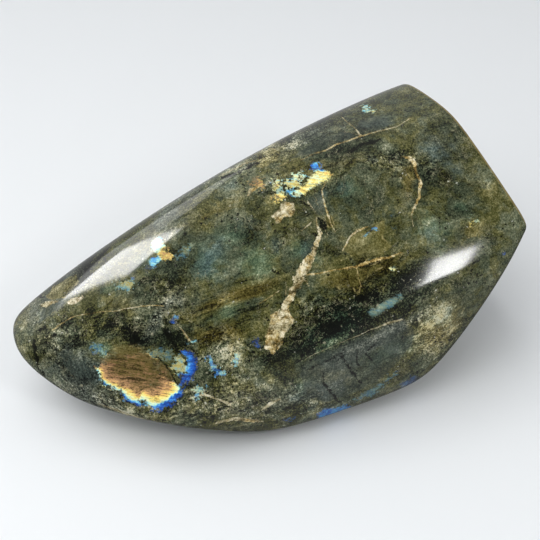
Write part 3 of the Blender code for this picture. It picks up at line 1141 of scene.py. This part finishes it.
def ramp(value, positions, *shades):
    """Colour ramp through screen colours (red, green, blue) at the given positions."""
    return linear_ramp(value, positions, [linear(*shade) for shade in shades])


print("screen white is", linear(255, 255, 255))

# %% [markdown]
# ### The ground: fibres inside tilted crystals
# Feldspar rock is a mass of crystals grown together, each with fine parallel fibres running its
# own way. One big noise would look like cloud, so the ground is made as the rock is: Voronoi cells
# of about 3 cm are the crystals, and each turns the fibres and shifts the tone a little. A slow
# noise bends everything first, so nothing looks like a honeycomb. Clear crystals are calm inside.
# Crushed ones, where the swirl is strong, break into facets of 4 mm and grains of 1 mm.

# %% Places and noises, with sizes in millimetres
SLOW_SIZE, QUICK_SIZE, COARSE_SIZE, FINE_SIZE = 26.0, 5.0, 4.0, 0.7
CRYSTAL_SIZE, CLOUD_SIZE, FACET_SIZE, GRAIN_SIZE = 27.0, 16.0, 4.2, 1.1
FIBRE_SIZE, FOLD_SIZE = 1.8, 3.6
FIBRE_SQUEEZE, FOLD_SQUEEZE = 0.07, 0.36
GRAIN_RISE = 0.35

# The last number of each shift is how far it may carry a place, in millimetres.
place = scaled(add("ShaderNodeTexCoord").outputs["Object"], *(1 / MM,) * 3)
slow = noise(place, SLOW_SIZE, 2.0)
quick = noise(place, QUICK_SIZE, 4.0, 0.65)
bent = shift(shift(place, slow, 26.0), quick, 4.0)
fine, fine_b, fine_c = parts_of(noise(place, FINE_SIZE, 1.5, 0.9))
coarse, coarse_b, coarse_c = parts_of(noise(place, COARSE_SIZE, 5.0, 0.75))
clouds, hues, patchy = parts_of(noise(bent, CLOUD_SIZE, 5.0, 0.60))
lot, lot_turn, lot_hue = parts_of(cells(bent, CRYSTAL_SIZE)[0])
facets, facet_hue, _ = parts_of(cells(shift(place, quick, 4.0), FACET_SIZE)[0])
grains, grain_pick, _ = parts_of(cells(shift(place, quick, 2.0), GRAIN_SIZE)[0])
fibre_turn = stir(-GRAIN_RISE, (lot_turn, 0.5))
fibre_place = along_grain(shift(place, slow, 9.0), fibre_turn, FIBRE_SQUEEZE)
fibres, fibre_hue, _ = parts_of(noise(fibre_place, FIBRE_SIZE, 4.0, 0.75))
fold_place = shift(along_grain(shift(place, slow, 24.0), -GRAIN_RISE, FOLD_SQUEEZE), quick, 6.0)
folds, pale_fold, dark_fold = parts_of(noise(fold_place, FOLD_SIZE, 5.0, 0.66))
print("places and noises take", len(nodes), "nodes")

# %% Tone of the ground, from 0 for black to 1 for pale
MIDDLE_TONE = 0.42

dark, teal, warm = marks("tones")
light, grey, swirl = marks("veils")
streaks, blue, broken = marks("habit")

# Big shapes first: clouds, crystals and fibres, then the dark and light smudges. On the lower
# facet some light smudges are a painted reflection of the floor, and one dark smudge is painted shade.
calm = stir(MIDDLE_TONE, (clouds, 0.85), (lot, 0.12), (fibres, line(streaks, 1.5, 0.2)))
calm = line(light, 0.28, line(dark, -0.36, calm))
# Fine detail swings more where the rock is crushed, and less between the clear streaks.
clear = line(streaks, -0.65, 1.0, clamp=True)
crisp = line(swirl, 0.9, line(grey, 0.6, line(dark, 0.5, 0.95)))
flakes = line(swirl, 0.30, 0.10)
pale_flakes = step(stir(pale_fold, (fine_b, 0.25)), 0.55, 0.59)
dark_flakes = step(stir(dark_fold, (fine_c, 0.25)), 0.44, 0.40)
tone = stir(calm, (facets, line(swirl, 0.10, 0.05)), (grains, line(swirl, 0.12, 0.06)), (fine, crisp),
            (coarse, line(swirl, 0.6, times(clear, 0.6))), (folds, line(swirl, 1.5, times(clear, 0.45))),
            (pale_flakes, flakes, 0.2), (dark_flakes, times(flakes, -0.8), 0.2))
print("with the tone,", len(nodes), "nodes")

# %% Ground colours over that tone
TONE_STOPS = (0.0, 0.2, 0.42, 0.62, 0.82, 1.0)
GROUNDS = {
    "olive": [(8, 9, 0), (34, 36, 12), (70, 72, 36), (106, 104, 62), (150, 144, 98), (216, 206, 162)],
    "green": [(8, 12, 6), (32, 40, 26), (66, 74, 54), (100, 106, 82), (144, 148, 120), (212, 208, 182)],
    "grey": [(10, 14, 12), (38, 44, 40), (70, 77, 70), (102, 108, 98), (144, 148, 134), (206, 206, 190)],
    "warm": [(16, 12, 0), (44, 38, 6), (80, 72, 28), (118, 106, 54), (164, 150, 94), (220, 206, 150)],
    "teal": [(6, 18, 12), (30, 50, 38), (60, 84, 64), (92, 116, 90), (132, 156, 128), (200, 214, 190)],
    "blue": [(6, 14, 16), (30, 44, 46), (58, 78, 80), (86, 108, 108), (124, 146, 146), (196, 208, 206)],
}
ground = {name: ramp(tone, TONE_STOPS, *shades) for name, shades in GROUNDS.items()}
hue = stir(hues, (coarse_c, 0.5), (facet_hue, 0.12))
colour = blend(step(hue, 0.40, 0.62), ground["olive"], ground["green"])
print(len(ground), "grounds, each a ramp over the same tone")

# %% [markdown]
# ### Broad tones
# Iron stains parts of the rock olive-brown, and clear parts look grey, teal or blue. On the
# front, the teal and blue of the middle crystals are also a dim flash, a painted sheen as it
# looks from the front, and some grey along the lower ridge is a painted reflection of the floor.
# A flat tint would hide the grain, so each tint is a ramp over the same tone as the ground, and
# the clouds, fibres and grains show through it unchanged. Noise makes its border ragged.

# %% Tones
ragged = stir(0.0, (clouds, 1.6), (coarse_b, 1.0))
for name, amount, most in (("grey", stir(grey, (lot_hue, 0.35)), 0.8),
                           ("warm", stir(warm, (fibre_hue, 1.2)), 0.85),
                           ("teal", stir(teal, (fibre_hue, 0.8)), 0.8),
                           ("blue", blue, 0.8)):
    colour = cover(colour, ground[name], step(sums("ADD", amount, ragged), 0.10, 1.0), most)
print("with the tints,", len(nodes), "nodes")

# %% [markdown]
# ### Wisps, specks and sparks
# Hair-fine pale and dark wisps follow old cracks that healed. Drawing each by hand would take
# hundreds of lines, but a bent noise passes through its middle value along just such curves.
# Black specks are grains of ore, pale chips are crushed feldspar, and sparks are cleavage faces
# that happen to catch the light. All three are small cells of which only some are filled.

# %% Wisps
WISP_SIZE = 12.0
WISP_STRENGTH = 0.55
PALE_WISP, DARK_WISP = linear(172, 168, 134), linear(26, 28, 14)

wisp_noise, wisp_other, wisp_field = parts_of(noise(bent, WISP_SIZE, 5.0, 0.70))
wisps_where = step(stir(wisp_field, (fine_c, 0.5), (swirl, 0.10, 0.3)), 0.46, 0.62)
# A noise, the level that the wisps follow, how near to it they reach, and their colour.
for value, level, width, shade in ((wisp_noise, 0.50, 0.012, PALE_WISP),
                                   (wisp_other, 0.54, 0.009, PALE_WISP),
                                   (wisp_other, 0.44, 0.012, DARK_WISP),
                                   (folds, 0.56, 0.012, PALE_WISP),
                                   (folds, 0.46, 0.016, DARK_WISP)):
    off_level = sums("ABSOLUTE", sums("SUBTRACT", value, level))
    colour = cover(colour, shade, times(step(off_level, width, 0.0), wisps_where), WISP_STRENGTH)
print("with the wisps,", len(nodes), "nodes")

# %% Specks, chips and sparks


def specks(size, radius, share, where):
    """Dots in some cells: nearer the middle than `radius` cells, where a draw is below share * where.

    A cell's second draw makes its dot larger or smaller, and the fine noise makes it ragged.
    """
    drawn, distance = cells(shift(place, quick, 3.0), size)
    draw, dot_size, _ = parts_of(drawn)
    edge = stir(distance, (dot_size, -0.8 * radius, 1.0), (fine, 0.9))
    chosen = step(line(where, share, times(draw, -1.0)), -0.02, 0.02)
    return times(step(edge, 1.8 * radius, 1.3 * radius), chosen)


# Colour; then cell size in millimetres, radius, share of the cells and place; then strength.
ore_where = step(line(dark, 0.08, line(swirl, 0.07, patchy)), 0.50, 0.64)
chip_where = times(swirl, step(coarse_b, 0.42, 0.62))
spark_where = line(swirl, 0.6, line(dark, 0.25, 0.25))
colour = cover(colour, linear(8, 9, 3), specks(1.7, 0.24, 0.55, ore_where), 0.85)
colour = cover(colour, linear(176, 172, 144), specks(1.4, 0.26, 0.5, chip_where), 0.6)
colour = cover(colour, linear(216, 218, 200), specks(1.7, 0.12, 0.13, spark_where), 0.75)
print("with the specks,", len(nodes), "nodes")

# %% [markdown]
# ### Crystals with an edge
# Slate, black and ochre crystals end at sharp but crooked borders. A mesh edge along each would
# need a far finer grid. Here the stored distance plus noise gives the border: big lumps in the
# noise move it by about a millimetre, small ones break it up. Inside, each sort has its own
# ramp. Slate thins out where the clouds are dark, so that it never looks like a flat plate.

# %% Slate and black crystals
to_cream, to_ochre, to_slate = marks("crystals")
crack_aside, crack_half, to_black = marks("cracks")
edge_noise = stir(0.0, (coarse, 4.0), (fine, 1.6), (facets, 0.9))


def inside(distance, wobble, soft):
    """1 inside a patch and 0 outside: a step of distance + wobble * edge noise, `soft` wide."""
    return step(line(edge_noise, wobble, distance), soft, -soft)


slate_tone = stir(calm, (fine, 0.9), (coarse, 1.0), (folds, 0.8))
slate_paint = ramp(slate_tone, (0.0, 0.4, 0.7, 1.0),
                   (24, 30, 28), (60, 69, 62), (90, 98, 90), (150, 156, 142))
slate_where = inside(to_slate, 0.4, 0.35)
colour = cover(colour, slate_paint, slate_where, stir(0.52, (clouds, 1.6)))

black_tone = stir(line(swirl, 0.1, tone), (fine_b, 0.8))
black_paint = ramp(black_tone, (0.0, 0.3, 0.5, 0.75, 1.0),
                   (4, 6, 2), (14, 18, 10), (34, 40, 28), (84, 90, 74), (170, 172, 150))
black_edge = stir(to_black, (coarse_b, 7.0), (fine, 4.5), (pale_fold, 6.0))
colour = cover(colour, black_paint, step(black_edge, 0.15, -0.35), 0.9)
print("with slate and black,", len(nodes), "nodes")

# %% Ochre crystals, with a paler rim here and there
ochre_tone = stir(tone, (facets, 0.16), (step(dark_fold, 0.50, 0.44), -0.12, 0.2))
ochre_paint = ramp(ochre_tone, (0.0, 0.2, 0.4, 0.6, 0.8, 1.0),
                   (30, 26, 4), (60, 56, 20), (98, 92, 46),
                   (128, 120, 70), (164, 154, 104), (216, 206, 156))
colour = cover(colour, ochre_paint, inside(to_ochre, 0.4, 0.30), 0.6)
off_rim = sums("ABSOLUTE", line(edge_noise, 0.4, to_ochre))
rim_where = times(step(off_rim, 0.45, 0.1), step(coarse_b, 0.50, 0.62))
colour = cover(colour, linear(172, 158, 106), rim_where, 0.65)
print("with ochre,", len(nodes), "nodes")

# %% [markdown]
# ### Cream feldspar
# Where the feldspar is opaque it is cream: lilac-white in one place, golden with rust in the
# next. One colour would look like plain paint, so there are two ramps and a noise that picks
# between them, and the tone inside swings more than the ground's.

# %% Cream
CREAM_STOPS = (0.0, 0.25, 0.45, 0.65, 0.85, 1.0)

mottle = stir(0.53, (coarse_b, 2.4), (fine_b, 1.0), (grains, 0.16), (folds, 1.2),
              (step(dark_fold, 0.47, 0.42), -0.28, 0.2))
pale_cream = ramp(mottle, CREAM_STOPS, (54, 48, 24), (104, 94, 60), (154, 144, 108), (196, 186, 150),
                  (228, 219, 186), (246, 240, 218))
gold_cream = ramp(mottle, CREAM_STOPS, (50, 38, 8), (104, 82, 34), (154, 128, 68), (196, 173, 112),
                  (228, 211, 160), (246, 234, 196))
stained = stir(0.0, (coarse_c, 3.2), (patchy, 1.4))
cream_paint = blend(step(stained, -0.15, 0.45), pale_cream, gold_cream)
cream_where = inside(to_cream, 0.7, 0.22)
colour = cover(colour, cream_paint, cream_where, 0.95)
print("with cream,", len(nodes), "nodes")

# %% [markdown]
# ### Veins
# A vein is a crack that cream feldspar filled. A bent tube laid on the stone would stand proud,
# and the polish has left nothing proud. So its stored numbers, the sideways distance and the
# half width, are compared, after noise has moved the middle line and changed the width.

# %% Veins
aside, half_width, rust = marks("veins")
off_middle = sums("ABSOLUTE", stir(aside, (coarse_c, 1.3), (fine_c, 0.5)))
swell = stir(1.0, (coarse_b, 1.8), (grains, 0.5))
vein_edge = stir(sums("SUBTRACT", off_middle, times(half_width, swell)), (fine, 0.35))
vein = times(step(vein_edge, 0.10, -0.10), step(half_width, 0.02, 0.10))
vein = times(vein, line(step(half_width, 0.1, 0.6), 0.35, 0.60))
vein_paint = blend(step(stir(rust, (coarse_c, 4.0)), 0.05, 0.85), pale_cream, gold_cream)
colour = blend(vein, colour, vein_paint)
print("with the veins,", len(nodes), "nodes")

# %% [markdown]
# ### Flashes
# The real colour comes from light that meets itself again between thin layers, and it moves as
# the stone is turned. Layer Weight could imitate that, but such a colour is lost when the model
# is exported, so the flash is painted as it looks from the front. The order of the colours is
# stored. Noise along the crystal's layers is added to it, and one ramp turns it into colour.
# Dark fibres lie between the layers, most of all in the copper.

# %% Order of the colours, and the layers
LAYER_SIZE = 1.0
LAYER_TURN = 0.16
FLASH_STOPS = (0.0, 0.10, 0.20, 0.29, 0.36, 0.43, 0.50, 0.58, 0.66, 0.74, 0.81, 0.88, 1.0)

to_flash, order, strength = marks("flash")
layer_place = along_grain(shift(place, slow, 5.0), LAYER_TURN, FIBRE_SQUEEZE)
layers, layer_order, layer_hue = parts_of(noise(layer_place, LAYER_SIZE, 4.0, 0.85))
spread = line(broken, 0.22, 0.10)
order = stir(order, (coarse_b, times(spread, 2.4)), (layer_order, line(broken, 0.2, 0.5)), (fine_b, spread))
thick = step(order, 0.55, 0.85)
flash_paint = ramp(order, FLASH_STOPS, (12, 26, 62), (20, 54, 130), (36, 98, 200), (76, 158, 238),
                   (130, 214, 240), (196, 246, 226), (250, 255, 206), (255, 244, 142), (252, 214, 116),
                   (226, 178, 118), (174, 138, 96), (134, 108, 68), (94, 82, 42))
reddish = times(step(stir(layer_hue, (fine, 0.3)), 0.48, 0.60), thick)
flash_paint = cover(flash_paint, linear(176, 126, 98), times(reddish, step(order, 1.0, 0.88)), 0.6)
gaps = step(line(thick, -0.02, stir(layers, (fine_c, 0.3))), 0.46, 0.39)
flash_paint = cover(flash_paint, linear(40, 32, 16), gaps, line(thick, 0.45, 0.45))
print("with the flash colours,", len(nodes), "nodes")

# %% Edge of a flash: crisp where it is blue, soft where it is copper
flash_edge = stir(to_flash, (coarse_c, 3.0), (layer_hue, times(thick, 9.0)),
                  (fine_b, line(broken, 2.5, 1.2)), (dark_fold, 5.0), (grain_pick, line(broken, 2.0, 0.4)))
softness = line(step(order, 0.80, 0.97), 3.4, 0.6)
lit = step(sums("DIVIDE", flash_edge, softness), 1.0, -1.0)
colour = cover(colour, flash_paint, lit, strength)
print("with the flashes,", len(nodes), "nodes")

# %% [markdown]
# ### Cracks
# Some hair cracks never healed and are full of dark dust. Cut into the mesh, they would be finer
# than its squares, so they are drawn as the veins are, last and over everything, and the bump in
# the polish sinks them a little.

# %% Cracks
off_crack = sums("ABSOLUTE", stir(crack_aside, (coarse, 3.4), (fine, 1.6), (folds, 2.6)))
crack_width = times(crack_half, stir(1.1, (coarse_b, 8.0)))
crack_edge = stir(sums("SUBTRACT", off_crack, crack_width), (fine_b, 1.1), (grains, 0.3))
crack = times(step(crack_edge, 0.12, -0.10), step(crack_half, 0.02, 0.12))
colour = cover(colour, linear(8, 10, 4), crack, 0.92)
print("with the cracks,", len(nodes), "nodes")

# %% [markdown]
# ### The sawn base and its edge
# The base was sawn and only smoothed, so it is duller and greyer, and the disc of the saw has
# left faint arcs about a millimetre and a half apart. They are circles about the place where
# the saw's axle ran; straight bands from a Wave Texture would look planed instead of sawn.
# The edge was broken with a whetstone and catches a thin golden line.

# %% Base
SAW_AXLE = (100.0, -170.0, -60.0)
SAW_WAVE = 4.2

base_cut, rim_cut, _ = marks("cut")
colour = cover(colour, linear(120, 120, 104), base_cut, 0.35)
to_axle = add("ShaderNodeVectorMath", {0: place, 1: SAW_AXLE}, operation="DISTANCE").outputs["Value"]
saw_lines = sums("SINE", times(stir(to_axle, (slow, 1.6)), SAW_WAVE))
saw_lines = times(stir(saw_lines, (coarse, 2.4)), base_cut)
colour = cover(colour, linear(150, 150, 132), step(saw_lines, 0.2, 1.6), 0.22)
colour = cover(colour, linear(150, 132, 86), step(rim_cut, 0.3, 0.9), 0.6)
print("with the base,", len(nodes), "nodes")

# %% [markdown]
# ### Polish
# The polish is high but not a mirror, and cream feldspar, the veins and the sawn base took it
# less well. One even roughness would make the highlights look like plastic. So roughness follows
# the marks, and a shallow bump stands for the pits, cracks and saw lines that show in a highlight.

# %% Polish
FELDSPAR_IOR = 1.56
POLISHED_ROUGH, ROUGHER_CREAM, ROUGHER_SAWN = 0.10, 0.08, 0.30
BUMP_STRENGTH, BUMP_DEPTH = 0.15, 0.00004

rough = stir(POLISHED_ROUGH, (fine, 0.10))
rough = line(vein, ROUGHER_CREAM, line(cream_where, ROUGHER_CREAM, rough))
rough = line(base_cut, ROUGHER_SAWN, rough, clamp=True)
height = stir(line(crack, -1.0, saw_lines), (coarse, 0.3))
bump = add("ShaderNodeBump", {"Strength": BUMP_STRENGTH, "Distance": BUMP_DEPTH, "Height": height})
shader.inputs["IOR"].default_value = FELDSPAR_IOR
wires.new(colour, shader.inputs["Base Color"])
wires.new(rough, shader.inputs["Roughness"])
wires.new(bump.outputs[0], shader.inputs["Normal"])
stone_mesh.materials.append(material)
print("the finish has", len(nodes), "nodes")

# %% [markdown]
# ## Light, floor and camera
# A polished stone shows its light sources, so they are placed by what they reflect in. The
# camera stands where the eye of the front sheet is, looks at the core, and has a long lens, as
# is usual for small things, so that the near end isn't swollen.

# %% Camera
CAMERA_LENS = 85.0

to_camera = direction(*FRONT_SHEET)
camera_data = bpy.data.cameras.new("camera")
camera_data.lens = CAMERA_LENS
camera = new_object("camera", camera_data)
camera.location = (CORE + to_camera * SHEET_EYE) * MM
camera.rotation_euler = Vector(-to_camera).to_track_quat("-Z", "Y").to_euler()
bpy.context.scene.camera = camera
bpy.context.scene.view_settings.view_transform = "Standard"
print("camera at", [round(value, 3) for value in camera.location])

# %% [markdown]
# ### Floor
# The floor is one sheet of pale matt paper, so wide that its edge is never seen. It takes the
# shadow but isn't reflected: mirrored in the lower faces, it would wash out their dark colours.

# %% Floor
FLOOR_HALF = 4.0
PAPER_SHADE = (233, 236, 238)
PAPER_ROUGHNESS = 0.85

corners = [(x * FLOOR_HALF, y * FLOOR_HALF, 0) for x, y in ((-1, -1), (1, -1), (1, 1), (-1, 1))]
floor_mesh = bpy.data.meshes.new("floor")
floor_mesh.from_pydata(corners, [], [(0, 1, 2, 3)])
floor = new_object("floor", floor_mesh)
paper, paper_shader = new_material("pale_paper")
paper_shader.inputs["Base Color"].default_value = linear(*PAPER_SHADE)
paper_shader.inputs["Roughness"].default_value = PAPER_ROUGHNESS
floor_mesh.materials.append(paper)
floor.visible_glossy = False
print("the floor is", 2 * FLOOR_HALF, "m wide")

# %% [markdown]
# ### Softboxes
# Two lamps are only there to be reflected: a long softbox high on the left, which gives the long
# glow on the shoulder, and a dim wide one round it, which gives that glow its halo. A small
# bright one on the right makes the short highlight and lights the stone as well. Three more
# light it and aren't reflected. One lamp could do two of these jobs only where both ask for the
# same size and place, so each job has its own.

# %% Softboxes


def softbox(name, azimuth, elevation, distance, width, height, radiance, spin=0.0):
    """A rectangular lamp that faces the stone, placed by azimuth and elevation from its core.

    Its power is radiance * pi * area, so the brightness of its reflection stays as given.
    """
    lamp = bpy.data.lights.new(name, "AREA")
    lamp.shape = "RECTANGLE"
    lamp.size, lamp.size_y = width, height
    lamp.energy = radiance * math.pi * width * height
    light = new_object(name, lamp)
    way = Vector(direction(azimuth, elevation))
    light.location = Vector(CORE * MM) + way * distance
    turn = (-way).to_track_quat("-Z", "Y") @ Quaternion((0, 0, 1), math.radians(spin))
    light.rotation_euler = turn.to_euler()
    print(name, "power", round(lamp.energy, 2), "W")
    return light


# Azimuth, elevation, then distance, width and height in metres, radiance, and spin.
only_reflected = [softbox("left_softbox", 161, 49.7, 0.60, 0.48, 0.125, 13.0, 38),
                  softbox("left_glow", 130, 42, 0.60, 0.40, 0.34, 2.2, 30)]
for lamp in only_reflected:
    lamp.visible_diffuse = False
softbox("right_softbox", -66, 44, 0.80, 0.10, 0.145, 20.0, -26)
never_reflected = [softbox("key", 165, 66, 0.75, 0.80, 0.80, 2.0),
                   softbox("front_fill", -145, 48, 0.70, 0.50, 0.50, 1.6),
                   softbox("side_fill", -20, 36, 0.80, 0.50, 0.50, 1.2)]
for lamp in never_reflected:
    lamp.visible_glossy = False

# %% [markdown]
# ### Room
# The rest of what the polish mirrors is a dim room. It is brightest behind and above the stone,
# nearly black in a band across the middle, and grey again behind the camera. One even grey
# would lie on the stone like fog, so a ramp over a single direction shades the room.

# %% Room
ROOM_BACK = (-0.10, 0.90, 0.42)
ROOM_STOPS = (0.0, 0.42, 0.62, 1.0)
ROOM_LEVELS = (0.36, 0.04, 0.26, 0.62)
ROOM_GREY = (1.0, 1.01, 1.03)

room = bpy.data.worlds.new("room")
bpy.context.scene.world = room
room.use_nodes = True
# From here on, the helpers that add a node work on the room's own tree.
nodes, wires = room.node_tree.nodes, room.node_tree.links
way_out = add("ShaderNodeTexCoord").outputs["Generated"]
toward_back = add("ShaderNodeVectorMath", {0: way_out, 1: ROOM_BACK}, operation="DOT_PRODUCT")
half_up = line(toward_back.outputs["Value"], 0.5, 0.5)
room_shades = [(*(level * part for part in ROOM_GREY), 1.0) for level in ROOM_LEVELS]
wires.new(linear_ramp(half_up, ROOM_STOPS, room_shades), nodes["Background"].inputs["Color"])
print("the room has", len(nodes), "nodes")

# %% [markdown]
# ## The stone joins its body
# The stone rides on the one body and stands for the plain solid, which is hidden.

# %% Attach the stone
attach(stone, "root")
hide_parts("stone")
